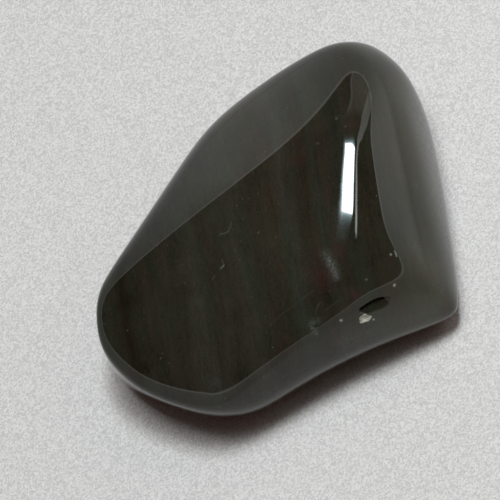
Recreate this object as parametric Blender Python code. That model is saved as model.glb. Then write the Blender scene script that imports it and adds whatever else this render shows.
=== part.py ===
"""Rainbow obsidian pebble: one polished, tumbled piece of banded volcanic glass.

The pebble is a wedge-shaped chip that has been tumbled until its faces are
smooth and its edges are round: a broad, nearly flat crown that falls towards
the thin end, a slope along the far side, a steep slope on the right, a hollow
wall in front, and a gently domed underside worn to a small flat spot.

It starts as a sphere primitive.  Each face of the pebble is a large, slightly
curved facet, given by the way it faces and by how far it lies from a core
point.  The facets are blended into one smooth surface, and every vertex of the
sphere is drawn along its own ray to that surface.

Units are metres, +Z up.  +X is the long way of the pebble, and the origin is
at the bottom centre of its box, on the plane that it rests on.
"""

import math

import bmesh
import bpy
import numpy as np

# ---------------------------------------------------------------- dimensions
MM = 0.001

LENGTH = 29.7 * MM          # along X
WIDTH = 23.2 * MM           # along Y
HEIGHT = 10.5 * MM          # along Z

FINENESS = 5                # subdivisions of the starting sphere
SPHERE_AXES = (15.0, 11.5, 5.2)     # mm, half axes that spread its vertices
FRONT_CORNER = (1.5, -13.4, 2.4)    # mm, where three faces meet at the front
CORNER_SPAN = 34.0          # degrees round it that get a second subdivision
FOOT_DEPTH = 0.13           # mm worn off the domed underside: the flat spot

# The point, in mm, from which the facets' distances are measured, and the
# point inside the glass from which the surface is reached.
FACET_CORE = (0.0, 0.0, 6.2)
RAY_CORE = (0.4, -0.8, 4.6)

# How softly neighbouring facets run into each other, in mm.  The ridge beside
# the right slope and the rim round the crown change along their length: a value
# at the middle, and a change for each mm of x and of y.
CROWN_BLEND = 1.4           # among the broad faces of the top
RIDGE_BLEND = (1.4, 0.0, 0.0)
RIM_BLEND = (0.5, 0.014, 0.0)
BASE_BLEND = 0.8            # among the walls and the underside
SHOULDER_BLEND = 0.05       # the faint crease of the small front facet

# name, compass direction and tilt from straight up in degrees, distance from
# the core, radius of curvature up the slope, and across it, all in mm.
# A negative radius is hollow.
CROWN_FACETS = (
    ("top", -165, 10, 3.1, 400, 400),
    ("far_slope", 84, 26, 5.05, 200, 400),
    ("head_slope", 25, 38, 11.3, 100, 100),
)
RIGHT_SLOPE = ("right_slope", -54, 53, 9.0, 100, -100)
BASE_FACETS = (
    ("far_wall", 94, 74, 9.7, 60, 200),
    ("far_edge", 71, 62, 10.0, 60, 60),
    ("right_wall", -40, 100, 12.9, 60, 200),
    ("front_wall", -122, 75, 9.8, 60, -60),
    ("front_bevel", -110, 56, 11.0, 60, 60),
    ("front_left", -150, 78, 12.9, 60, 60),
    ("front_left_low", -145, 112, 13.5, 60, 60),
    ("left_end", 155, 86, 15.0, 60, 60),
    ("left_end_far", 126, 78, 13.9, 60, 60),
    ("head", 20, 70, 16.2, 40, 40),
    ("head_right", -15, 88, 16.0, 40, 40),
    ("under_front", -122, 120, 11.2, 30, -60),
    ("under_left", -174, 106, 15.0, 30, 40),
    ("under_far", 80, 120, 9.8, 30, 60),
    ("under_right", -30, 125, 13.8, 30, 30),
    ("underside", 0, 180, 6.3, 60, 60),
)
SHOULDER_FACET = ("shoulder", -130, 22, 4.6, 400, 400)

GLASS_COLOUR = (0.018, 0.018, 0.012, 1.0)
GLASS_ROUGHNESS = 0.06
GLASS_IOR = 1.49


# --------------------------------------------------------------------- shape
def facet_height(points, facet):
    """How far each point lies outside one curved facet, in mm."""
    _, compass, tilt, reach, radius_up, radius_across = facet
    a, t = math.radians(compass), math.radians(tilt)
    out = np.array((math.sin(t) * math.cos(a), math.sin(t) * math.sin(a), math.cos(t)))
    up = np.array((-math.cos(t) * math.cos(a), -math.cos(t) * math.sin(a), math.sin(t)))
    across = np.array((-math.sin(a), math.cos(a), 0.0))
    p = points - np.array(FACET_CORE)
    along_up, along_across = p @ up, p @ across
    bulge = along_up**2 / (2 * radius_up) + along_across**2 / (2 * radius_across)
    return p @ out - reach + bulge


def blend(heights, softness):
    """Smooth maximum: the facets run into each other with rounded edges."""
    stack = np.stack(heights)
    top = stack.max(axis=0)
    return top + softness * np.log(np.exp((stack - top) / softness).sum(axis=0))


def varying(softness, points, least, most):
    """A softness that changes along x and y."""
    middle, per_x, per_y = softness
    return np.clip(middle + per_x * points[:, 0] + per_y * points[:, 1], least, most)


def outside(points):
    """Below zero inside the pebble, zero on its surface, above zero outside."""
    crown = blend([facet_height(points, f) for f in CROWN_FACETS], CROWN_BLEND)
    ridge = varying(RIDGE_BLEND, points, 0.25, 3.0)
    crown = blend([crown, facet_height(points, RIGHT_SLOPE)], ridge)
    base = blend([facet_height(points, f) for f in BASE_FACETS], BASE_BLEND)
    body = blend([crown, base], varying(RIM_BLEND, points, 0.15, 1.5))
    return blend([body, facet_height(points, SHOULDER_FACET)], SHOULDER_BLEND)


def drawn_to_surface(directions):
    """Walk out from inside the glass along each ray to the surface."""
    core = np.array(RAY_CORE)
    near = np.zeros(len(directions))
    far = np.full(len(directions), 30.0)
    for _ in range(48):
        middle = (near + far) / 2
        inside = outside(core + directions * middle[:, None]) < 0
        near = np.where(inside, middle, near)
        far = np.where(inside, far, middle)
    return core + directions * ((near + far) / 2)[:, None]


def rays_of(vertices):
    """The direction in which each vertex of the starting sphere leaves the core."""
    rays = np.array([v.co[:] for v in vertices]) * np.array(SPHERE_AXES)
    return rays / np.linalg.norm(rays, axis=1)[:, None]


def pebble_mesh(name):
    bm = bmesh.new()
    bmesh.ops.create_icosphere(bm, subdivisions=FINENESS, radius=1.0)

    # The front corner is the sharpest place, so the sphere is finer there.
    corner = np.array(FRONT_CORNER) - np.array(RAY_CORE)
    corner /= np.linalg.norm(corner)
    close = rays_of(bm.verts) @ corner > math.cos(math.radians(CORNER_SPAN))
    bm.verts.index_update()
    bmesh.ops.subdivide_edges(
        bm,
        edges=[e for e in bm.edges if all(close[v.index] for v in e.verts)],
        cuts=1,
        use_grid_fill=True,
    )
    bmesh.ops.triangulate(bm, faces=bm.faces[:])

    for vertex, place in zip(bm.verts, drawn_to_surface(rays_of(bm.verts))):
        vertex.co = place

    # Wear the flat spot into the domed underside, and close it with a fan.
    lowest = min(v.co.z for v in bm.verts)
    foot = lowest + FOOT_DEPTH
    bmesh.ops.bisect_plane(
        bm,
        geom=bm.verts[:] + bm.edges[:] + bm.faces[:],
        dist=1e-6,
        plane_co=(0, 0, foot),
        plane_no=(0, 0, -1),
        clear_outer=True,
    )
    bmesh.ops.remove_doubles(
        bm, verts=[v for v in bm.verts if abs(v.co.z - foot) < 1e-4], dist=0.08
    )
    bmesh.ops.dissolve_degenerate(bm, dist=0.02, edges=bm.edges[:])
    edge_loop = [e for e in bm.edges if e.is_boundary]
    filled = bmesh.ops.contextual_create(bm, geom=edge_loop)
    bmesh.ops.poke(bm, faces=filled["faces"])
    bmesh.ops.triangulate(bm, faces=bm.faces[:])
    for vertex in bm.verts:
        if abs(vertex.co.z - foot) < 1e-3:
            vertex.co.z = foot

    # Bring the box to its driving size, with the origin at its bottom centre.
    places = np.array([v.co[:] for v in bm.verts])
    low, high = places.min(axis=0), places.max(axis=0)
    size = np.array((LENGTH, WIDTH, HEIGHT))
    scale = size / (high - low)
    middle = np.array(((low[0] + high[0]) / 2, (low[1] + high[1]) / 2, low[2]))
    for vertex, place in zip(bm.verts, (places - middle) * scale):
        vertex.co = place
    bmesh.ops.recalc_face_normals(bm, faces=bm.faces[:])

    mesh = bpy.data.meshes.new(name)
    bm.to_mesh(mesh)
    bm.free()
    mesh.shade_smooth()
    return mesh


def obsidian():
    material = bpy.data.materials.new("obsidian")
    material.use_nodes = True
    shader = material.node_tree.nodes["Principled BSDF"]
    shader.inputs["Base Color"].default_value = GLASS_COLOUR
    shader.inputs["Roughness"].default_value = GLASS_ROUGHNESS
    shader.inputs["Metallic"].default_value = 0.0
    shader.inputs["IOR"].default_value = GLASS_IOR
    material.diffuse_color = GLASS_COLOUR
    return material


def main():
    for old in list(bpy.data.objects):
        bpy.data.objects.remove(old, do_unlink=True)

    collection = bpy.data.collections.new("rainbow_obsidian")
    bpy.context.scene.collection.children.link(collection)

    stone = bpy.data.objects.new("stone", pebble_mesh("stone"))
    stone.data.materials.append(obsidian())
    collection.objects.link(stone)


main()
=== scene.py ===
import math

import bmesh
import bpy
import numpy as np
from mathutils import Matrix, Vector


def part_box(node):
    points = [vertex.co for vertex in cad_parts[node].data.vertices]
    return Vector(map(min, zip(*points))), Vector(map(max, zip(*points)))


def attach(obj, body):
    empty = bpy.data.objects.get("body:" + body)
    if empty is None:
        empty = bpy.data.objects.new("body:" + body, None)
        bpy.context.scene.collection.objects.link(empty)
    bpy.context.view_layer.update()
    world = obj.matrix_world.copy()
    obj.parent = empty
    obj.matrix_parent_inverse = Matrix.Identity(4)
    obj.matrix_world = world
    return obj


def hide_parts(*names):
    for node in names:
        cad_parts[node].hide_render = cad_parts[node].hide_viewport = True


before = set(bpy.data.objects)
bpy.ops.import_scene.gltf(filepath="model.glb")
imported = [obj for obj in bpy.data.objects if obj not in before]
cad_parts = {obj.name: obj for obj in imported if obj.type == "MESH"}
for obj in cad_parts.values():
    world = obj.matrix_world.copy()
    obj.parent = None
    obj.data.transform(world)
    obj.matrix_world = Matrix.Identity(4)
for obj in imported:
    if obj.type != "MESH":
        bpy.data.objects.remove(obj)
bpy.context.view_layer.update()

MM = 0.001

# =============================================================================
# The pebble's surface, in mm, in a frame of its own whose z is 0 near the foot.
# Each face is a large, slightly curved facet: name, compass direction and tilt
# from straight up in degrees, distance from the core, radius of curvature up
# the slope and across it (negative is hollow).
# =============================================================================
FACET_CORE = np.array((0.0, 0.0, 6.2))
RAY_CORE = np.array((0.4, -0.8, 4.6))
SPHERE_AXES = np.array((15.0, 11.5, 5.2))
FOOT_DEPTH = 0.13
FINENESS = 7

# How softly neighbouring faces run into each other, in mm.  The ridge beside the
# right slope and the rim round the top change along their length.
CROWN_BLEND = 0.313
RIDGE_BLEND = (2.011, 0.0439, -0.0380)      # at the middle, and per mm of x and y
BASE_BLEND = 0.404
RIM_BLEND = (0.778, 0.0334, -0.0212)
SHOULDER_BLEND = 0.05

CROWN_FACETS = (
    ("top", -158.4, 12.1, 3.93, 60, 238),
    ("far_slope", 86.5, 17.4, 4.71, 98, 96),
    ("head_slope", 16.5, 38.3, 11.56, 96, 71),
)
RIGHT_SLOPE = ("right_slope", -64.9, 46.5, 10.00, 129, -326)
BASE_FACETS = (
    ("far_wall", 93.9, 68.2, 8.68, 72, -199),
    ("far_edge", 75.6, 63.4, 9.64, 59, 108),
    ("right_wall", -44.3, 90.0, 11.92, 139, -4400),
    ("front_wall", -119.7, 68.1, 9.05, 70, -185),
    ("front_bevel", -111.6, 56.3, 10.89, 59, 64),
    ("front_left", -146.2, 77.6, 13.19, 60, 63),
    ("front_left_low", -138.3, 112.4, 12.39, 60, 74),
    ("left_end", 166.9, 79.9, 14.29, 104, 54),
    ("left_end_far", 121.8, 82.8, 12.60, 57, 68),
    ("head", 22.4, 69.7, 16.77, 40, 41),
    ("head_right", -15.2, 91.0, 15.86, 41, 40),
    ("under_front", -121.3, 119.6, 10.39, 30, -39),
    ("under_left", -167.2, 103.4, 13.68, 30, 71),
    ("under_far", 72.3, 119.9, 9.56, 30, 46),
    ("under_right", -25.0, 125.1, 14.32, 30, 26),
    ("underside", 0.0, 180.0, 6.30, 60, 60),
)
SHOULDER_FACET = ("shoulder", -124.3, 32.9, 5.81, 154, 83)


def facet_height(points, facet):
    _, compass, tilt, reach, radius_up, radius_across = facet
    a, t = math.radians(compass), math.radians(tilt)
    out = np.array((math.sin(t) * math.cos(a), math.sin(t) * math.sin(a), math.cos(t)))
    up = np.array((-math.cos(t) * math.cos(a), -math.cos(t) * math.sin(a), math.sin(t)))
    across = np.array((-math.sin(a), math.cos(a), 0.0))
    p = points - FACET_CORE
    along_up, along_across = p @ up, p @ across
    bulge = along_up**2 / (2 * radius_up) + along_across**2 / (2 * radius_across)
    return p @ out - reach + bulge


def blend(heights, softness):
    stack = np.stack(heights)
    top = stack.max(axis=0)
    return top + softness * np.log(np.exp((stack - top) / softness).sum(axis=0))


def varying(blends, points, low, high):
    middle, per_x, per_y = blends
    return np.clip(middle + per_x * points[:, 0] + per_y * points[:, 1], low, high)


def body_height(points):
    """Below zero inside the pebble, zero on its surface, above zero outside."""
    crown = blend([facet_height(points, f) for f in CROWN_FACETS], CROWN_BLEND)
    ridge = varying(RIDGE_BLEND, points, 0.25, 3.0)
    crown = blend([crown, facet_height(points, RIGHT_SLOPE)], ridge)
    base = blend([facet_height(points, f) for f in BASE_FACETS], BASE_BLEND)
    body = blend([crown, base], varying(RIM_BLEND, points, 0.15, 1.5))
    return blend([body, facet_height(points, SHOULDER_FACET)], SHOULDER_BLEND)


def drawn_to_surface(directions, height, steps=36):
    near = np.zeros(len(directions))
    far = np.full(len(directions), 30.0)
    for _ in range(steps):
        middle = (near + far) / 2
        inside = height(RAY_CORE + directions * middle[:, None]) < 0
        near = np.where(inside, middle, near)
        far = np.where(inside, far, middle)
    return RAY_CORE + directions * ((near + far) / 2)[:, None]


def slope(points, height, step=0.01):
    """Outward direction of the surface at each point, from its own shape."""
    grad = np.empty_like(points)
    for k in range(3):
        d = np.zeros(3)
        d[k] = step
        grad[:, k] = height(points + d) - height(points - d)
    return grad / np.linalg.norm(grad, axis=1)[:, None]


# =============================================================================
# Small marks in the polish, and patches of painted reflection, in mm in the same frame.
# Each path lies on the surface.  Pits and lines: path, half width, depth, how pale, how hazy (for some, how strongly a
# painted reflection lightens the glass).
# =============================================================================
MARKS_AND_PAINTED_REFLECTIONS = (
    # pin pricks and tiny pits
    ([(-2.82, -8.84, 6.94)], 0.095, 0.030, 0.75, 0.0),
    ([(1.28, -10.61, 6.80)], 0.090, 0.030, 0.55, 0.0),
    ([(-1.41, -10.29, 5.81)], 0.080, 0.030, 0.70, 0.0),
    ([(2.86, -9.49, 7.73)], 0.065, 0.020, 0.45, 0.0),
    ([(3.24, -9.55, 7.63), (3.02, -9.82, 7.50)], 0.050, 0.015, 0.35, 0.0),
    ([(2.10, -8.85, 8.08), (1.62, -9.02, 8.00), (1.30, -9.20, 7.90)], 0.035, 0.005, 0.05, 0.0),
    ([(0.42, -9.13, 7.90)], 0.065, 0.020, 0.16, 0.0),
    ([(4.21, 2.15, 10.18)], 0.055, 0.008, 0.14, 0.0),
    ([(6.55, -1.11, 10.44)], 0.060, 0.010, 0.14, 0.0),
    ([(8.82, -1.05, 10.19)], 0.065, 0.010, 0.15, 0.0),
    ([(8.65, -1.99, 10.15)], 0.060, 0.010, 0.09, 0.0),
    ([(-11.29, 4.31, 7.56)], 0.060, 0.008, 0.07, 0.0),
    ([(-11.71, 1.13, 7.05)], 0.055, 0.008, 0.09, 0.0),
    ([(-11.36, 1.15, 7.19)], 0.055, 0.008, 0.09, 0.0),
    ([(7.13, 1.93, 9.97)], 0.050, 0.008, 0.06, 0.0),
    ([(1.51, -1.21, 10.24)], 0.055, 0.008, 0.05, 0.0),
    ([(-0.93, -1.04, 9.88)], 0.060, 0.008, 0.12, 0.0),
    ([(-8.55, 5.80, 8.35)], 0.055, 0.008, 0.05, 0.0),
    ([(-8.10, 4.35, 8.62)], 0.050, 0.008, 0.05, 0.0),
    ([(3.55, -3.40, 10.05)], 0.055, 0.008, 0.06, 0.0),
    ([(-9.90, 1.80, 7.72)], 0.055, 0.008, 0.05, 0.0),
    # a comma-shaped nick, a shorter one and a fine curved scratch
    ([(-3.84, 0.36, 9.38), (-3.98, 0.12, 9.33), (-4.10, 0.05, 9.31)], 0.050, 0.012, 0.07, 0.0),
    ([(-4.10, 0.05, 9.31), (-4.22, 0.07, 9.28), (-4.36, 0.11, 9.24)], 0.060, 0.020, 0.20, 0.0),
    ([(-5.02, 0.24, 9.09), (-5.29, 0.30, 9.03)], 0.060, 0.008, 0.05, 0.0),
    ([(-1.25, 1.17, 10.00), (-1.58, 1.04, 9.93), (-1.92, 0.99, 9.86)], 0.038, 0.006, 0.06, 0.0),
    ([(-1.92, 0.99, 9.86), (-2.20, 1.17, 9.82), (-2.35, 1.44, 9.81)], 0.040, 0.006, 0.09, 0.0),
    # half-moon crack and two hairlines near the front corner of the top
    ([(-2.66, -7.31, 8.10), (-3.00, -7.25, 8.01), (-3.35, -7.27, 7.87), (-3.52, -7.35, 7.76)], 0.040, 0.007, 0.035, 0.0),
    ([(-2.91, -7.79, 7.72), (-2.43, -8.00, 7.77), (-1.85, -8.24, 7.84)], 0.040, 0.005, 0.025, 0.0),
    ([(-6.09, -4.98, 8.04), (-4.93, -5.40, 8.29), (-4.10, -5.75, 8.42), (-3.28, -6.11, 8.54), (-2.27, -6.59, 8.63)], 0.045, 0.004, 0.018, 0.0),
    # a hazy pale streak, and a bruise where the surface is crushed
    ([(0.25, -6.05, 9.22), (-0.02, -6.63, 9.02), (-0.33, -7.14, 8.81)], 0.330, 0.0, 0.0, 0.50),
    ([(0.10, -6.40, 9.10), (-0.25, -6.98, 8.88), (-0.65, -7.49, 8.62)], 0.190, 0.0, 0.0, 1.00),
    ([(-3.77, -7.61, 7.51), (-4.15, -7.35, 7.50), (-4.36, -7.50, 7.33), (-4.50, -7.85, 7.00)], 0.230, 0.008, 0.0, 0.45),
    ([(-4.40, -7.54, 7.30)], 0.070, 0.015, 0.10, 0.0),
    ([(-4.52, -7.90, 6.95)], 0.065, 0.015, 0.15, 0.0),
    ([(-11.15, -3.36, 6.58)], 0.500, 0.0, 0.0, 0.14),
    # the front bevel and its right corner, a little dull, and painted reflection: paler where they mirror the pale
    # floor
    ([(-3.80, -9.20, 5.30), (-0.75, -11.26, 4.43), (1.30, -12.60, 3.70)], 0.800, 0.0, 0.0, 0.26),
    ([(2.60, -12.60, 4.00), (4.00, -11.60, 5.20)], 0.700, 0.0, 0.0, 0.12),
    # painted reflection: a pale glow beside the lamp's reflection on the ridge
    ([(3.30, -5.20, 9.62), (1.90, -6.30, 9.28)], 0.380, 0.0, 0.0, 0.20),
    ([(5.00, -4.30, 9.87), (3.60, -5.00, 9.66)], 0.130, 0.0, 0.0, 0.22),
)

# The flake scar on the front bevel: a lip at its upper edge, and below it a
# shallow floor that comes back out to the surface.
SCAR_MIDDLE = np.array((-0.525, -10.12, 6.67))
SCAR_ALONG = np.array((0.819, -0.522, -0.236))
SCAR_DOWN = np.array((-0.467, -0.367, -0.805))
SCAR_HALF_LENGTH = 1.28
SCAR_DEPTH = 0.34

# The crushed chip at the scar's left end, dull and pale.
CHIP_MIDDLE = np.array((-1.72, -9.90, 6.20))
CHIP_HALF = (0.43, 0.32)
CHIP_DEPTH = 0.09

# Stains inside the glass, and patches of painted reflection and painted shade: middle,
# radius, how much lighter, how brown (+) or green (-).
STAINS_AND_PAINTED_LIGHT = (
    ((-1.20, -6.75, 8.82), 0.90, 0.05, 4.6),
    ((-0.89, -8.94, 7.71), 0.42, 0.25, 3.6),
    ((9.05, -2.30, 10.04), 0.46, 0.30, 3.4),
    ((1.12, -6.75, 9.07), 0.46, 0.20, 5.0),
    ((-8.23, 4.98, 8.58), 0.90, -0.05, 1.4),
    ((-9.53, 5.27, 8.22), 0.55, -0.30, 1.2),
    ((-11.72, 2.28, 7.19), 0.80, -0.10, 1.0),
    ((-12.78, 1.77, 6.72), 0.45, -0.55, 0.5),
    ((-4.43, -6.67, 7.80), 0.80, 0.06, -1.4),
    ((-2.16, -7.80, 7.99), 0.60, -0.15, -1.2),
    ((-9.00, 1.63, 8.07), 1.10, 0.02, -1.0),
    ((4.96, -0.94, 10.50), 0.80, 0.0, 1.0),
    ((4.16, -1.33, 10.45), 0.70, -0.10, -1.3),
    ((-0.09, -2.95, 9.79), 1.00, 0.05, -0.9),
    ((1.58, -0.17, 10.34), 0.90, 0.0, 1.1),
    ((6.20, -4.95, 9.55), 1.30, -0.16, 0.2),
    ((2.20, -9.60, 7.70), 0.45, 0.10, 1.3),
    ((-12.60, -1.20, 6.60), 1.60, -0.14, 0.2),
    ((-9.60, -3.40, 7.10), 1.60, -0.15, 0.3),
    ((6.90, -1.10, 10.40), 0.90, -0.12, 0.6),
    # paler glass in the thin edges, and painted reflection: the front bevel and right slope lightened where they mirror
    # the pale floor
    ((-1.20, -11.40, 4.40), 3.00, 1.20, -0.4),
    ((1.60, -12.70, 3.50), 2.20, 1.40, 0.0),
    ((4.30, -11.20, 5.60), 2.20, 0.95, -0.5),
    ((8.40, -8.20, 5.60), 2.60, 0.70, -0.6),
    ((10.80, -5.30, 7.00), 2.60, 0.90, -0.6),
    ((12.80, -2.60, 7.60), 2.20, 0.90, -0.5),
    # painted shade: the far rim darkened where it mirrors the floor behind
    ((-6.80, 7.80, 8.10), 1.60, -0.55, 0.3),
    ((-4.30, 7.80, 8.20), 1.60, -0.50, 0.3),
    ((-1.60, 8.00, 8.10), 1.70, -0.65, 0.3),
    ((1.00, 8.15, 7.90), 1.70, -0.75, 0.3),
    ((3.40, 8.00, 7.90), 1.60, -0.50, 0.3),
)


def distance_to(points, path):
    """Distance from each point to a path of one or more places, in mm."""
    path = [np.array(p) for p in path]
    best = np.linalg.norm(points - path[0], axis=1)
    for a, b in zip(path, path[1:]):
        k = np.clip((points - a) @ (b - a) / ((b - a) @ (b - a)), 0, 1)
        best = np.minimum(best, np.linalg.norm(points - a - k[:, None] * (b - a), axis=1))
    return best


def ease(x):
    x = np.clip(x, 0, 1)
    return x * x * (3 - 2 * x)


def ripple(points, pitch):
    """A lumpy pattern between -1 and 1."""
    q = points * (2 * math.pi / pitch)
    return (
        np.sin(q @ (0.9, 0.3, 0.5)) * np.sin(q @ (-0.4, 0.8, 0.2) + 1.3)
        + np.sin(q @ (1.7, -1.1, 0.6) + 0.7) * np.sin(q @ (0.5, 1.6, -1.5) + 2.1)
    ) / 2


def scar_depth(points):
    d = points - SCAR_MIDDLE
    u, v = d @ SCAR_ALONG, d @ SCAR_DOWN
    r = np.clip(np.abs(u) / SCAR_HALF_LENGTH, 0, 1)
    top = -0.34 * (1 - r**2) - 0.12 * u * (1 - r)
    bottom = 0.58 - 0.18 * ease((-u - 0.8) / 0.4) - 0.32 * np.clip(u - 0.2, 0, 1) ** 2
    w = (v - top) / (bottom - top)
    floor = SCAR_DEPTH * (1 - 0.75 * w - 0.25 * w * w)
    floor = 0.012 * np.log1p(np.exp(np.clip(floor / 0.012, -50, 50)))
    ends = ease((u + 1.24) / 0.10) * ease((1.30 - u) / 0.8)
    depth = floor * ease(w / 0.07) * ends
    near = (np.abs(d @ np.cross(SCAR_ALONG, SCAR_DOWN)) < 1.0) & (np.abs(v) < 1.2)
    return np.where(near, depth, 0.0)


def chip_reach(points):
    """Below 1 inside the chip's ragged outline."""
    d = points - CHIP_MIDDLE
    u, v = d @ SCAR_ALONG / CHIP_HALF[0], d @ SCAR_DOWN / CHIP_HALF[1]
    turn = np.arctan2(v, u)
    out = np.sqrt(u * u + v * v + (d @ np.cross(SCAR_ALONG, SCAR_DOWN)) ** 2)
    return out / (1 + 0.10 * np.sin(3 * turn + 0.6) + 0.07 * np.sin(5 * turn + 2.0))


def mark_depth(points):
    """How far the marks are sunk into the polished surface, in mm."""
    depth = scar_depth(points)
    reach = chip_reach(points)
    bowl = CHIP_DEPTH * (1 - ease(reach)) ** 0.7 * (1 + 0.45 * ripple(points, 0.21))
    depth = np.maximum(depth, np.where(reach < 1, bowl, 0.0))
    for path, half, deep, _, _ in MARKS_AND_PAINTED_REFLECTIONS:
        if deep:
            r = distance_to(points, path) / half
            depth = depth + np.where(r < 3, deep * np.exp(-r * r), 0.0)
    return depth


def mark_masks(points):
    """Pale, crushed glass; haze and painted reflection; and the lightness and brownness of the stains, with painted
    shade in the scar and along the far rim and painted reflection on the thin edges.
    """
    reach = chip_reach(points)
    pale = 1 - ease((reach - 0.9) / 0.2)
    haze_and_painted_reflection = np.zeros(len(points))
    for path, half, _, how_pale, haze_and_reflection_strength in MARKS_AND_PAINTED_REFLECTIONS:
        r = distance_to(points, path) / half
        if how_pale:
            pale = np.maximum(pale, how_pale * np.exp(-(r**2)))
        if haze_and_reflection_strength:
            haze_and_painted_reflection = np.maximum(haze_and_painted_reflection, haze_and_reflection_strength * np.exp(-(r**2)))
    # painted shade: the flake scar's hollow is darkened
    light, brown = -0.75 * ease(scar_depth(points) / 0.06), np.zeros(len(points))
    for middle, radius, how_light, how_brown in STAINS_AND_PAINTED_LIGHT:
        r = np.linalg.norm(points - np.array(middle), axis=1) / radius
        light += how_light * np.exp(-(r**2))
        brown += how_brown * np.exp(-(r**2))
    return {"pale": pale, "haze_and_painted_reflection": haze_and_painted_reflection, "light": light, "brown": brown}


def refine(bm):
    """Split the edges near the marks, so that small marks are real shapes."""
    for level, reach in ((1, 3.6), (2, 2.8), (3, 2.2)):
        points = np.array([v.co[:] for v in bm.verts])
        near = chip_reach(points) < 1.25 + 0.15 * (3 - level)
        d = points - SCAR_MIDDLE
        u, v = np.abs(d @ SCAR_ALONG), d @ SCAR_DOWN
        off = np.abs(d @ np.cross(SCAR_ALONG, SCAR_DOWN))
        spare = 0.12 * (4 - level)
        near |= (u < 1.25 + spare) & (v > -0.42 - spare) & (v < 0.62 + spare) & (off < 1)
        for path, half, deep, pale, haze_and_painted_reflection in MARKS_AND_PAINTED_REFLECTIONS:
            if not deep and not pale:
                continue
            if half > 0.15 and level > 1 or half > 0.09 and not pale and level > 2:
                continue
            near |= distance_to(points, path) < half * reach + 0.05 * (3 - level)
        bm.verts.index_update()
        bmesh.ops.subdivide_edges(
            bm,
            edges=[e for e in bm.edges if near[e.verts[0].index] and near[e.verts[1].index]],
            cuts=1,
            use_grid_fill=True,
        )
        bmesh.ops.triangulate(bm, faces=[f for f in bm.faces if len(f.verts) > 3])


def pebble_mesh(name):
    bm = bmesh.new()
    bmesh.ops.create_icosphere(bm, subdivisions=FINENESS, radius=1.0)
    rays = np.array([v.co[:] for v in bm.verts]) * SPHERE_AXES
    rays /= np.linalg.norm(rays, axis=1)[:, None]
    places = drawn_to_surface(rays, body_height, 30)
    foot = places[:, 2].min() + FOOT_DEPTH

    def height(points):
        return np.maximum(body_height(points), foot - points[:, 2])

    for vertex, place in zip(bm.verts, places):
        vertex.co = place
    refine(bm)
    rays = np.array([v.co[:] for v in bm.verts]) - RAY_CORE
    rays /= np.linalg.norm(rays, axis=1)[:, None]
    places = drawn_to_surface(rays, height)
    normals = slope(places, height)
    low, high = places.min(axis=0), places.max(axis=0)
    box_low, box_high = (np.array(c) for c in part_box("stone"))
    scale = (box_high - box_low) / (high - low)

    tilt = np.empty_like(places)
    for k in range(3):
        d = np.zeros(3)
        d[k] = 0.004
        tilt[:, k] = (mark_depth(places + d) - mark_depth(places - d)) / 0.008
    masks = mark_masks(places)
    places = places - normals * mark_depth(places)[:, None]
    normals = normals + tilt
    for vertex, place in zip(bm.verts, (places - low) * scale + box_low):
        vertex.co = place
    for face in bm.faces:
        face.smooth = True
    mesh = bpy.data.meshes.new(name)
    bm.to_mesh(mesh)
    bm.free()
    normals /= scale
    normals /= np.linalg.norm(normals, axis=1)[:, None]
    mesh.normals_split_custom_set_from_vertices(normals.tolist())
    for key, values in masks.items():
        layer = mesh.attributes.new(key, "FLOAT", "POINT")
        layer.data.foreach_set("value", values.astype(np.float32))
    print("pebble triangles:", len(mesh.polygons))

    def to_row(p):
        return Vector((np.array(p) - low) * scale + box_low)

    return mesh, to_row


# =============================================================================
# Small helpers for node trees
# =============================================================================
class Tree:
    def __init__(self, tree):
        self.tree = tree
        self.x = 0

    def node(self, kind, **settings):
        made = self.tree.nodes.new(kind)
        made.location = (self.x, 0)
        self.x += 180
        for key, value in settings.items():
            setattr(made, key, value)
        return made

    def feed(self, socket, value):
        if isinstance(value, bpy.types.NodeSocket):
            self.tree.links.new(value, socket)
        else:
            socket.default_value = value

    def math(self, operation, *values, clamp=False):
        made = self.node("ShaderNodeMath", operation=operation, use_clamp=clamp)
        for socket, value in zip(made.inputs, values):
            self.feed(socket, value)
        return made.outputs[0]

    def vector(self, operation, *values):
        made = self.node("ShaderNodeVectorMath", operation=operation)
        for socket, value in zip(made.inputs, values):
            self.feed(socket, value)
        return made.outputs["Value" if operation in ("DOT_PRODUCT", "LENGTH", "DISTANCE") else "Vector"]

    def smooth(self, value, low, high, to_low=0.0, to_high=1.0):
        made = self.node("ShaderNodeMapRange", interpolation_type="SMOOTHSTEP")
        self.feed(made.inputs["Value"], value)
        self.feed(made.inputs["From Min"], low)
        self.feed(made.inputs["From Max"], high)
        self.feed(made.inputs["To Min"], to_low)
        self.feed(made.inputs["To Max"], to_high)
        return made.outputs["Result"]

    def mix(self, factor, a, b, mode="MIX"):
        made = self.node("ShaderNodeMix", data_type="RGBA", blend_type=mode)
        self.feed(made.inputs[0], factor)
        self.feed(made.inputs[6], a)
        self.feed(made.inputs[7], b)
        return made.outputs[2]


# =============================================================================
# Camera, from the standing frame of the photograph
# =============================================================================
CAMERA_COMPASS, CAMERA_ELEVATION, CAMERA_ROLL = -17.0, 60.0, 40.0
PIXELS_PER_MM = 14.2
TARGET_MM, TARGET_PIXEL = np.array((0.0, 0.0, 6.0)), (272.0, 236.0)
CAMERA_DISTANCE = 0.6

az, el, roll = (math.radians(v) for v in (CAMERA_COMPASS, CAMERA_ELEVATION, CAMERA_ROLL))
LOOK = np.array((-math.sin(az) * math.cos(el), math.cos(az) * math.cos(el), -math.sin(el)))
SIDE = np.array((math.cos(az), math.sin(az), 0.0))
AWAY = np.array((-math.sin(az), math.cos(az), 0.0))
RISE = np.cross(SIDE, LOOK)
FRAME_X = math.cos(roll) * SIDE - math.sin(roll) * RISE
FRAME_Y = math.sin(roll) * SIDE + math.cos(roll) * RISE


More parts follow.
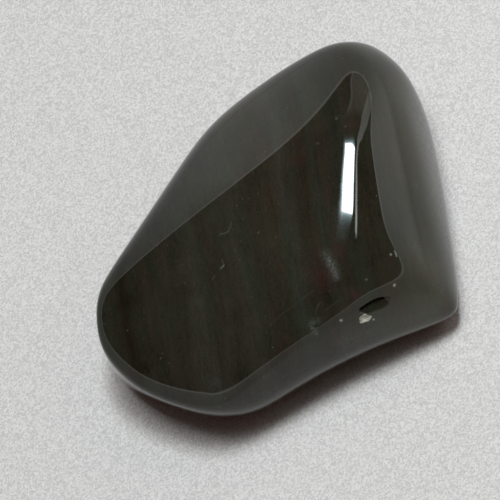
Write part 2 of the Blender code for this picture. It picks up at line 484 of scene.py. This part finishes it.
# =============================================================================
# Glass: near-black, with flow bands of brown and olive
# =============================================================================
# The bands' planes: across them, along their streaks on the top, and inward.
BAND_LEAN = 0.18
BAND_ACROSS = (FRAME_X + BAND_LEAN * FRAME_Y) / math.hypot(1, BAND_LEAN)
TOP_FACING = np.array((-0.195, -0.077, 0.978))
BAND_ALONG = np.cross(BAND_ACROSS, TOP_FACING)
BAND_ALONG /= np.linalg.norm(BAND_ALONG)
BAND_DEEP = np.cross(BAND_ACROSS, BAND_ALONG)

# The glass between the bands: lightness, and how brown (+) or green (-).
GLASS_TONE = (34.3, 0.2)
# The bands: middle and half width in mm across them, how much lighter or darker
# and how much browner or greener than the glass between them.
BANDS = (
    (-2.6, 6.2, 7.0, 0.0),      # the wide, slightly paler middle
    (-11.0, 0.45, -10.0, 1.6),    # a dark brown line near the thin end
    (-6.3, 0.8, 4.5, -0.8),     # pale olive
    (-5.0, 0.4, -2.0, 0.4),
    (-2.5, 0.6, 2.5, -0.3),
    (-0.9, 0.6, -2.5, 1.0),
    (0.2, 0.5, 0.0, 1.9),       # reddish brown
    (1.25, 0.5, 6.0, -1.0),     # pale olive
    (2.8, 0.5, -2.0, 1.7),      # dark brown
    (3.7, 0.3, 3.5, -0.9),
    (4.4, 0.3, 1.5, 1.2),
    (5.6, 0.6, -0.5, -1.2),     # dark olive
    (7.3, 0.6, -1.5, 0.8),
    (9.6, 0.9, 1.5, -0.4),
)


def linear(level):
    c = level / 255
    return c / 12.92 if c <= 0.04045 else ((c + 0.055) / 1.055) ** 2.4


def band_colour(lightness, brownness):
    return (
        linear(lightness + 1.0 + 1.3 * brownness),
        linear(lightness - 0.3 * brownness),
        linear(lightness - 8.0 - 0.9 * brownness),
    )


def band_tone(across):
    """Lightness and brownness at a place across the bands, in mm."""
    lightness, brownness = GLASS_TONE
    for middle, half, lighter, browner in BANDS:
        here = math.exp(-(((across - middle) / half) ** 2))
        lightness += lighter * here
        brownness += browner * here
    return lightness, brownness


def obsidian(to_row):
    material = bpy.data.materials.new("obsidian_glass")
    material.use_nodes = True
    t = Tree(material.node_tree)
    shader = material.node_tree.nodes["Principled BSDF"]

    place = t.node("ShaderNodeTexCoord").outputs["Object"]
    place = t.vector("SUBTRACT", place, tuple(to_row(TARGET_MM)))
    place = t.vector("MULTIPLY", place, (1000, 1000, 1000))
    across = t.vector("DOT_PRODUCT", place, tuple(BAND_ACROSS))
    along = t.vector("DOT_PRODUCT", place, tuple(BAND_ALONG))
    deep = t.vector("DOT_PRODUCT", place, tuple(BAND_DEEP))

    def noise(vector, scale, detail=2.0, rough=0.5):
        made = t.node("ShaderNodeTexNoise", noise_dimensions="3D")
        t.feed(made.inputs["Vector"], vector)
        made.inputs["Scale"].default_value = scale
        made.inputs["Detail"].default_value = detail
        made.inputs["Roughness"].default_value = rough
        return t.math("SUBTRACT", made.outputs["Fac"], 0.5)

    def streak(shift, fine, long, inward):
        made = t.node("ShaderNodeCombineXYZ")
        t.feed(made.inputs[0], t.math("MULTIPLY_ADD", bent, fine, shift))
        t.feed(made.inputs[1], t.math("MULTIPLY", along, long))
        t.feed(made.inputs[2], t.math("MULTIPLY", deep, inward))
        return made.outputs[0]

    def attribute(name):
        return t.node("ShaderNodeAttribute", attribute_name=name).outputs["Fac"]

    # the flow: bands, bent a little, broken into streaks
    bent = t.math("MULTIPLY_ADD", noise(place, 0.10, 1.0), 1.6, across)
    bent = t.math("MULTIPLY_ADD", noise(place, 0.6, 1.0), 0.12, bent)
    bands = t.node("ShaderNodeCombineColor")
    low, high, steps = -14.0, 13.0, 90
    fraction = t.math("DIVIDE", t.math("SUBTRACT", bent, low), high - low, clamp=True)
    for channel in range(3):
        made = t.node("ShaderNodeFloatCurve")
        t.feed(made.inputs["Value"], fraction)
        curve = made.mapping.curves[0]
        places = [k / steps for k in range(steps + 1)]
        for x in places[1:-1]:
            curve.points.new(x, 0.0)
        for point, x in zip(curve.points, places):
            point.location = (x, band_colour(*band_tone(low + x * (high - low)))[channel])
            point.handle_type = "VECTOR"
        made.mapping.update()
        t.feed(bands.inputs[channel], made.outputs[0])
    colour = bands.outputs[0]

    light = t.math("MULTIPLY_ADD", noise(streak(0.0, 1.0, 0.17, 0.2), 1.0, 3.0, 0.55), 0.7, 1.0)
    light = t.math("MULTIPLY_ADD", noise(place, 0.5, 2.0, 0.6), 0.5, light)
    light = t.math("MULTIPLY_ADD", noise(streak(9.0, 3.2, 0.3, 0.4), 1.0, 2.0, 0.5), 0.45, light)
    light = t.math("MULTIPLY_ADD", noise(streak(17.0, 7.5, 1.6, 1.5), 1.0, 2.0, 0.6), 0.6, light)
    light = t.math("MULTIPLY_ADD", noise(place, 7.0, 2.0, 0.6), 0.70, light)
    # the mesh's lightness: stains, painted shade in the scar and along the far rim, painted reflection on the thin
    # edges
    light = t.math("ADD", light, attribute("light"))
    brown = t.math("MULTIPLY", noise(streak(31.0, 0.9, 0.15, 0.2), 1.0, 2.0, 0.5), 5.0)
    brown = t.math("MULTIPLY_ADD", noise(place, 1.6, 3.0, 0.6), 4.0, brown)
    brown = t.math("MULTIPLY_ADD", noise(streak(63.0, 6.0, 1.2, 1.2), 1.0, 1.0, 0.5), 4.0, brown)
    brown = t.math("ADD", brown, attribute("brown"))
    tint = t.node("ShaderNodeCombineColor")
    t.feed(tint.inputs[0], t.math("MULTIPLY", light, t.math("MULTIPLY_ADD", brown, 0.075, 1.0)))
    t.feed(tint.inputs[1], t.math("MULTIPLY", light, t.math("MULTIPLY_ADD", brown, -0.032, 1.0)))
    t.feed(tint.inputs[2], t.math("MULTIPLY", light, t.math("MULTIPLY_ADD", brown, 0.010, 1.0)))
    colour = t.mix(1.0, colour, tint.outputs[0], "MULTIPLY")

    # haze of worn marks, painted reflection where the bevel mirrors the floor and beside the lamp's reflection, and
    # pale crushed glass in chips and pits
    broken = t.smooth(noise(place, 7.0, 3.0, 0.65), -0.22, 0.12, 0.1, 1.0)
    haze_and_painted_reflection = t.math("MULTIPLY", attribute("haze_and_painted_reflection"), broken, clamp=True)
    colour = t.mix(t.math("MULTIPLY", haze_and_painted_reflection, 0.55), colour, (0.15, 0.155, 0.145, 1))
    dust = t.node("ShaderNodeTexVoronoi", voronoi_dimensions="3D", feature="F1")
    t.feed(dust.inputs["Vector"], place)
    dust.inputs["Scale"].default_value = 1.9
    each = t.node("ShaderNodeSeparateColor")
    t.feed(each.inputs[0], dust.outputs["Color"])
    specks = t.math("MULTIPLY", t.smooth(dust.outputs["Distance"], 0.045, 0.105, 1.0, 0.0),
                    t.math("MULTIPLY", each.outputs[0], each.outputs[1]))
    pale = t.math("MULTIPLY_ADD", specks, 0.22, attribute("pale"), clamp=True)
    grain = t.smooth(noise(place, 6.0, 2.0, 0.6), -0.15, 0.2)
    crushed = t.mix(grain, (0.28, 0.29, 0.22, 1), (0.60, 0.61, 0.55, 1))
    colour = t.mix(pale, colour, crushed)
    t.feed(shader.inputs["Base Color"], colour)

    # polish: hardly any roughness, a little more along some streaks
    polish = t.math("MULTIPLY_ADD", noise(streak(50.0, 2.0, 0.2, 0.4), 1.0, 3.0), 0.03, 0.025)
    polish = t.math("MULTIPLY_ADD", haze_and_painted_reflection, 0.25, t.math("MAXIMUM", polish, 0.008))
    polish = t.math("MULTIPLY_ADD", pale, 0.6, polish, clamp=True)
    t.feed(shader.inputs["Roughness"], polish)
    shader.inputs["IOR"].default_value = 1.49

    # a faint waviness left by tumbling, and a rough floor in the chips
    swell = noise(place, 0.5, 1.0)
    lumps = t.math("MULTIPLY", noise(place, 9.0, 3.0, 0.7), t.math("MULTIPLY", pale, 24.0))
    bump = t.node("ShaderNodeBump")
    bump.inputs["Strength"].default_value = 1.0
    bump.inputs["Distance"].default_value = 0.0000012
    t.feed(bump.inputs["Height"], t.math("ADD", swell, lumps))
    t.feed(shader.inputs["Normal"], bump.outputs["Normal"])
    return material


# =============================================================================
# Camera
# =============================================================================
def make_camera(to_row):
    centre = (
        TARGET_MM
        + (249.5 - TARGET_PIXEL[0]) / PIXELS_PER_MM * FRAME_X
        + (TARGET_PIXEL[1] - 249.5) / PIXELS_PER_MM * FRAME_Y
    )
    data = bpy.data.cameras.new("camera")
    data.sensor_width = 36.0
    data.lens = 36.0 * CAMERA_DISTANCE / (500 / PIXELS_PER_MM * MM)
    data.clip_start, data.clip_end = 0.01, 10.0
    camera = bpy.data.objects.new("camera", data)
    bpy.context.scene.collection.objects.link(camera)
    turn = Matrix((FRAME_X, FRAME_Y, -LOOK)).transposed()
    camera.matrix_world = Matrix.Translation(
        to_row(centre) - Vector(LOOK) * CAMERA_DISTANCE
    ) @ turn.to_4x4()
    bpy.context.scene.camera = camera


# =============================================================================
# Studio: a pale tent with an opening overhead, a lamp above the opening, and a
# dim bar beside the lamp
# =============================================================================
RIM_GLOW = 0.55
WALL_TINT = (0.98, 1.015, 0.975)
AMBIENT = (0.20, 0.10, 0.07)        # the tent's share of the light on dull surfaces
OPENING = 0.02
# brightness of the tent's wall by direction in degrees, from straight away,
# positive to the right
WALL = (
    (-180, 0.38), (-165, 0.40), (-150, 0.36), (-110, 0.45), (-60, 0.44), (-18, 0.44),
    (-8, 0.54), (-2, 0.68), (4, 0.64), (14, 0.55), (40, 0.54), (60, 0.68), (80, 0.98),
    (105, 1.18), (118, 0.83), (132, 0.60), (150, 0.44), (165, 0.35), (180, 0.38),
)
# height of the opening's edge, in degrees: its mean, then the cosine and sine
# parts of one to four turns round the horizon, from straight away
OPENING_EDGE = (40.75, -1.43, -1.04, -7.4, -1.51, 3.39, -1.54, 1.65, 0.84)
LAMP_TURN = -0.783
# The bar beside the lamp: place along it, its left edge and its right edge, and
# how bright it is.
BAR = (
    (0.020, 0.307, 0.327, 0.0),
    (0.040, 0.305, 0.325, 2.5),
    (0.064, 0.301, 0.321, 6.0),
    (0.100, 0.303, 0.323, 6.5),
    (0.140, 0.309, 0.330, 5.2),
    (0.200, 0.322, 0.344, 4.6),
    (0.287, 0.316, 0.340, 3.2),
    (0.360, 0.304, 0.343, 2.0),
    (0.420, 0.284, 0.390, 1.45),
    (0.500, 0.281, 0.411, 1.3),
    (0.600, 0.270, 0.455, 1.2),
    (0.740, 0.236, 0.475, 1.1),
    (0.940, 0.246, 0.505, 0.95),
    (1.130, 0.285, 0.500, 0.8),
    (1.350, 0.350, 0.500, 0.5),
)


def make_world():
    world = bpy.data.worlds.new("studio")
    bpy.context.scene.world = world
    world.use_nodes = True
    tree = world.node_tree
    t = Tree(tree)
    d = t.node("ShaderNodeTexCoord").outputs["Generated"]
    side = t.vector("DOT_PRODUCT", d, tuple(SIDE))
    away = t.vector("DOT_PRODUCT", d, tuple(AWAY))
    up = t.vector("DOT_PRODUCT", d, (0, 0, 1))
    height = t.math("DEGREES", t.math("ARCSINE", up))
    round_ = t.math("ARCTAN2", side, away)
    edge = OPENING_EDGE[0]
    for k in range(1, 5):
        turn = t.math("MULTIPLY", round_, float(k))
        edge = t.math("MULTIPLY_ADD", t.math("COSINE", turn), OPENING_EDGE[2 * k - 1], edge)
        edge = t.math("MULTIPLY_ADD", t.math("SINE", turn), OPENING_EDGE[2 * k], edge)
    above = t.math("SUBTRACT", height, edge)

    low = t.math("MAXIMUM", up, 0.02)
    u, v = t.math("DIVIDE", side, low), t.math("DIVIDE", away, low)
    c, s = math.cos(LAMP_TURN), math.sin(LAMP_TURN)
    across = t.math("MULTIPLY_ADD", u, c, t.math("MULTIPLY", v, s))
    along = t.math("MULTIPLY_ADD", v, c, t.math("MULTIPLY", u, -s))

    def past(value, edge, soft):
        """0 below the edge, 1 above it."""
        return t.smooth(t.math("SUBTRACT", value, edge), -soft, soft)

    def short_of(value, edge, soft):
        return t.smooth(t.math("SUBTRACT", value, edge), -soft, soft, 1.0, 0.0)

    def both(*values):
        product = values[0]
        for value in values[1:]:
            product = t.math("MULTIPLY", product, value)
        return product

    def arc(value, a, b, c):
        """a + b x + c x^2"""
        return t.math("MULTIPLY_ADD", t.math("MULTIPLY_ADD", value, c, b), value, a)

    # the lamp, a bright window with slightly bowed sides and a rounded corner
    lamp_left = arc(along, 0.106, 0.645, -1.733)
    lamp_right = arc(along, 0.2007, 0.8516, -1.891)
    corner = t.math("MAXIMUM", t.math("SUBTRACT", across, 0.185), 0.0)
    lamp_top = t.math("MULTIPLY_ADD", t.math("MULTIPLY", corner, corner), -4.0, 0.360)
    lamp_foot = t.math("MULTIPLY_ADD", t.math("SUBTRACT", across, 0.149), 0.11, 0.087)
    sides = both(past(across, lamp_left, 0.006), short_of(across, lamp_right, 0.006))
    lamp = both(sides, past(along, lamp_foot, 0.003), short_of(along, lamp_top, 0.004))

    # pale haze past its two ends
    fade_sides = both(past(across, t.math("SUBTRACT", lamp_left, 0.012), 0.016),
                      short_of(across, t.math("SUBTRACT", lamp_right, 0.004), 0.012))
    below = t.math("MAXIMUM", t.math("SUBTRACT", lamp_foot, along), 0.0)
    beyond = t.math("MAXIMUM", t.math("SUBTRACT", along, lamp_top), 0.0)
    tail = t.math("MULTIPLY", t.math("EXPONENT", t.math("MULTIPLY", below, -38.0)), 0.11)
    fade = t.math("MULTIPLY_ADD", t.math("EXPONENT", t.math("MULTIPLY", below, -95.0)), 0.89, tail)
    fade = t.math("MULTIPLY", fade, t.math("EXPONENT", t.math("MULTIPLY", beyond, -55.0)))
    fade = both(fade, fade_sides)

    # the bar
    def by_place(column, low, high):
        made = t.node("ShaderNodeFloatCurve")
        first, last = BAR[0][0], BAR[-1][0]
        t.feed(made.inputs["Value"], t.math("DIVIDE", t.math("SUBTRACT", along, first), last - first, clamp=True))
        curve = made.mapping.curves[0]
        points = [((row[0] - first) / (last - first), (row[column] - low) / (high - low)) for row in BAR]
        for x, y in points[1:-1]:
            curve.points.new(x, y)
        for point, (x, y) in zip(curve.points, points):
            point.location = (x, y)
            point.handle_type = "AUTO_CLAMPED"
        made.mapping.update()
        return t.math("MULTIPLY_ADD", made.outputs[0], high - low, low)

    bar = both(past(across, by_place(1, 0.2, 0.6), 0.007), short_of(across, by_place(2, 0.2, 0.6), 0.007))
    bar = both(bar, by_place(3, 0.0, 10.0), short_of(along, 1.32, 0.04))

    # a dim sheet between the bar and the wall, with a brighter left edge
    sheet_left = t.smooth(along, 0.88, 1.36, -0.165, -0.385)
    sheet_ends = both(past(along, 0.78, 0.12), short_of(along, 1.60, 0.1))
    sheet = both(past(across, sheet_left, 0.010), short_of(across, 0.34, 0.05), sheet_ends)
    off = t.math("DIVIDE", t.math("SUBTRACT", across, sheet_left), 0.022)
    sheet_edge = t.math("EXPONENT", t.math("MULTIPLY", t.math("MULTIPLY", off, off), -1.0))
    sheet_edge = both(sheet_edge, past(along, 0.86, 0.06), short_of(along, 1.60, 0.1))

    # the wall, a little brighter right beside the opening
    made = t.node("ShaderNodeFloatCurve")
    t.feed(made.inputs["Value"], t.math("MULTIPLY_ADD", round_, 0.5 / math.pi, 0.5))
    curve = made.mapping.curves[0]
    points = [((turn + 180) / 360, value / 1.2) for turn, value in WALL]
    for x, y in points[1:-1]:
        curve.points.new(x, y)
    for point, (x, y) in zip(curve.points, points):
        point.location = (x, y)
        point.handle_type = "AUTO_CLAMPED"
    made.mapping.update()
    wall_light = t.math("MULTIPLY", made.outputs[0], 1.2)
    low_wall = t.smooth(height, -2.0, 13.0, 0.75, 0.0)
    wall_light = t.math("MULTIPLY_ADD", low_wall, t.math("SUBTRACT", 0.60, wall_light), wall_light)
    near_edge = t.math("DIVIDE", t.math("ADD", above, 0.9), 0.7)
    glow = t.math("MULTIPLY", t.math("EXPONENT", t.math("MULTIPLY", t.math("MULTIPLY", near_edge, near_edge), -1.0)), RIM_GLOW)
    wall = t.math("MULTIPLY", t.math("ADD", wall_light, glow), t.smooth(above, -0.25, 0.25, 1.0, 0.0))
    grey = t.math("ADD", wall, OPENING)
    grey = t.math("MULTIPLY_ADD", sheet, 0.34, grey)
    grey = t.math("MULTIPLY_ADD", sheet_edge, 0.6, grey)
    grey = t.math("ADD", grey, bar)
    # the tent shows in the polish, and lights the dull surfaces only faintly
    path = t.node("ShaderNodeLightPath")
    shown = t.math("MAXIMUM", path.outputs["Is Glossy Ray"], path.outputs["Is Camera Ray"])
    base = t.node("ShaderNodeCombineColor")
    for k in range(3):
        share = t.math("MULTIPLY_ADD", shown, WALL_TINT[k] - AMBIENT[k], AMBIENT[k])
        lit = t.math("MULTIPLY_ADD", lamp, 28.0, t.math("MULTIPLY", grey, share))
        t.feed(base.inputs[k], t.math("MULTIPLY_ADD", fade, (8.0, 10.8, 11.6)[k], lit))
    background = tree.nodes["Background"]
    tree.links.new(base.outputs[0], background.inputs["Color"])


def area_light(name, size, watts, place, aim=(0, 0, 0), glossy=True, colour=(1, 1, 1)):
    data = bpy.data.lights.new(name, "AREA")
    data.shape = "RECTANGLE"
    data.size, data.size_y = size
    data.energy = watts
    data.color = colour
    light = bpy.data.objects.new(name, data)
    bpy.context.scene.collection.objects.link(light)
    light.location = place
    light.rotation_mode = "QUATERNION"
    light.rotation_quaternion = (Vector(place) - Vector(aim)).to_track_quat("Z", "Y")
    light.visible_glossy = glossy
    light.visible_camera = False
    return light


def make_floor():
    mesh = bpy.data.meshes.new("floor")
    s = 1.5
    mesh.from_pydata([(-s, -s, 0), (s, -s, 0), (s, s, 0), (-s, s, 0)], [], [(0, 1, 2, 3)])
    floor = bpy.data.objects.new("floor", mesh)
    bpy.context.scene.collection.objects.link(floor)
    material = bpy.data.materials.new("floor_paper")
    material.use_nodes = True
    shader = material.node_tree.nodes["Principled BSDF"]
    t = Tree(material.node_tree)
    grain = t.node("ShaderNodeTexVoronoi", voronoi_dimensions="2D", feature="F1")
    t.feed(grain.inputs["Vector"], t.node("ShaderNodeTexCoord").outputs["Object"])
    grain.inputs["Scale"].default_value = 9500.0
    speck = t.node("ShaderNodeSeparateColor")
    t.feed(speck.inputs[0], grain.outputs["Color"])
    t.feed(shader.inputs["Base Color"], t.mix(speck.outputs[0], (0.50, 0.50, 0.495, 1), (0.72, 0.72, 0.71, 1)))
    shader.inputs["Roughness"].default_value = 0.55
    shader.inputs["Specular IOR Level"].default_value = 0.4
    mesh.materials.append(material)


mesh, to_row = pebble_mesh("polished_stone")
stone = bpy.data.objects.new("polished_stone", mesh)
bpy.context.scene.collection.objects.link(stone)
mesh.materials.append(obsidian(to_row))
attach(stone, "root")
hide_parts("stone")

make_camera(to_row)
make_world()
make_floor()
area_light("overhead", (0.42, 0.42), 6.0, Vector(SIDE) * 0.14 + Vector(AWAY) * 0.03 + Vector((0, 0, 1.05)), glossy=False)
area_light("soft", (1.4, 1.4), 2.2, Vector(SIDE) * 0.45 + Vector((0, 0, 1.1)), glossy=False)
area_light("bounce", (0.02, 0.02), 0.0021, Vector(SIDE) * 0.045 + Vector(AWAY) * -0.004 + Vector((0, 0, 0.032)), aim=Vector(SIDE) * 0.03, glossy=False)

bpy.context.scene.view_settings.view_transform = "Standard"
